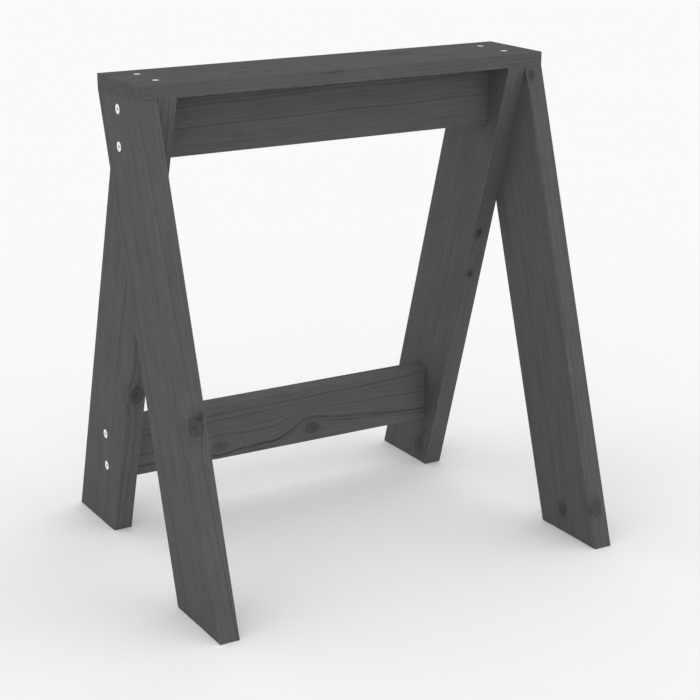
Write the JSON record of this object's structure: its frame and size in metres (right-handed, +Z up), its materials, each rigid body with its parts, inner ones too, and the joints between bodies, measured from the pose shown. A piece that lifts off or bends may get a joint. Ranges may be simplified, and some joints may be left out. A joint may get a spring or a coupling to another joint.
{
  "type": "sawhorse",
  "caption": "Fixed timber sawhorse: a flat plank top over a beam on edge, splayed plank legs that cross at each end and a low rear stretcher, joined with countersunk screws.",
  "frame": {"origin": "on the floor, under the middle of the top board", "axes": "+Z up, +X along the top beam from the left end to the right end, -Y towards the side without the stretcher"},
  "size_m": [0.548, 0.4716, 0.6],
  "materials": {
    "stained_wood": "planed softwood under a thin, matt dark-grey stain with the grain showing through",
    "zinc_screws": "bright zinc-plated steel"
  },
  "bodies": {
    "root": {"top_board": "stained_wood", "top_beam": "stained_wood", "stretcher": "stained_wood", "front_left_leg": "stained_wood", "rear_left_leg": "stained_wood", "front_right_leg": "stained_wood", "rear_right_leg": "stained_wood", "top_screw_left_front": "zinc_screws", "top_screw_left_rear": "zinc_screws", "top_screw_right_front": "zinc_screws", "top_screw_right_rear": "zinc_screws", "beam_screw_left_upper": "zinc_screws", "beam_screw_left_lower": "zinc_screws", "beam_screw_right_upper": "zinc_screws", "beam_screw_right_lower": "zinc_screws", "stretcher_screw_left_upper": "zinc_screws", "stretcher_screw_left_lower": "zinc_screws", "stretcher_screw_right_upper": "zinc_screws", "stretcher_screw_right_lower": "zinc_screws"}
  },
  "joints": []
}
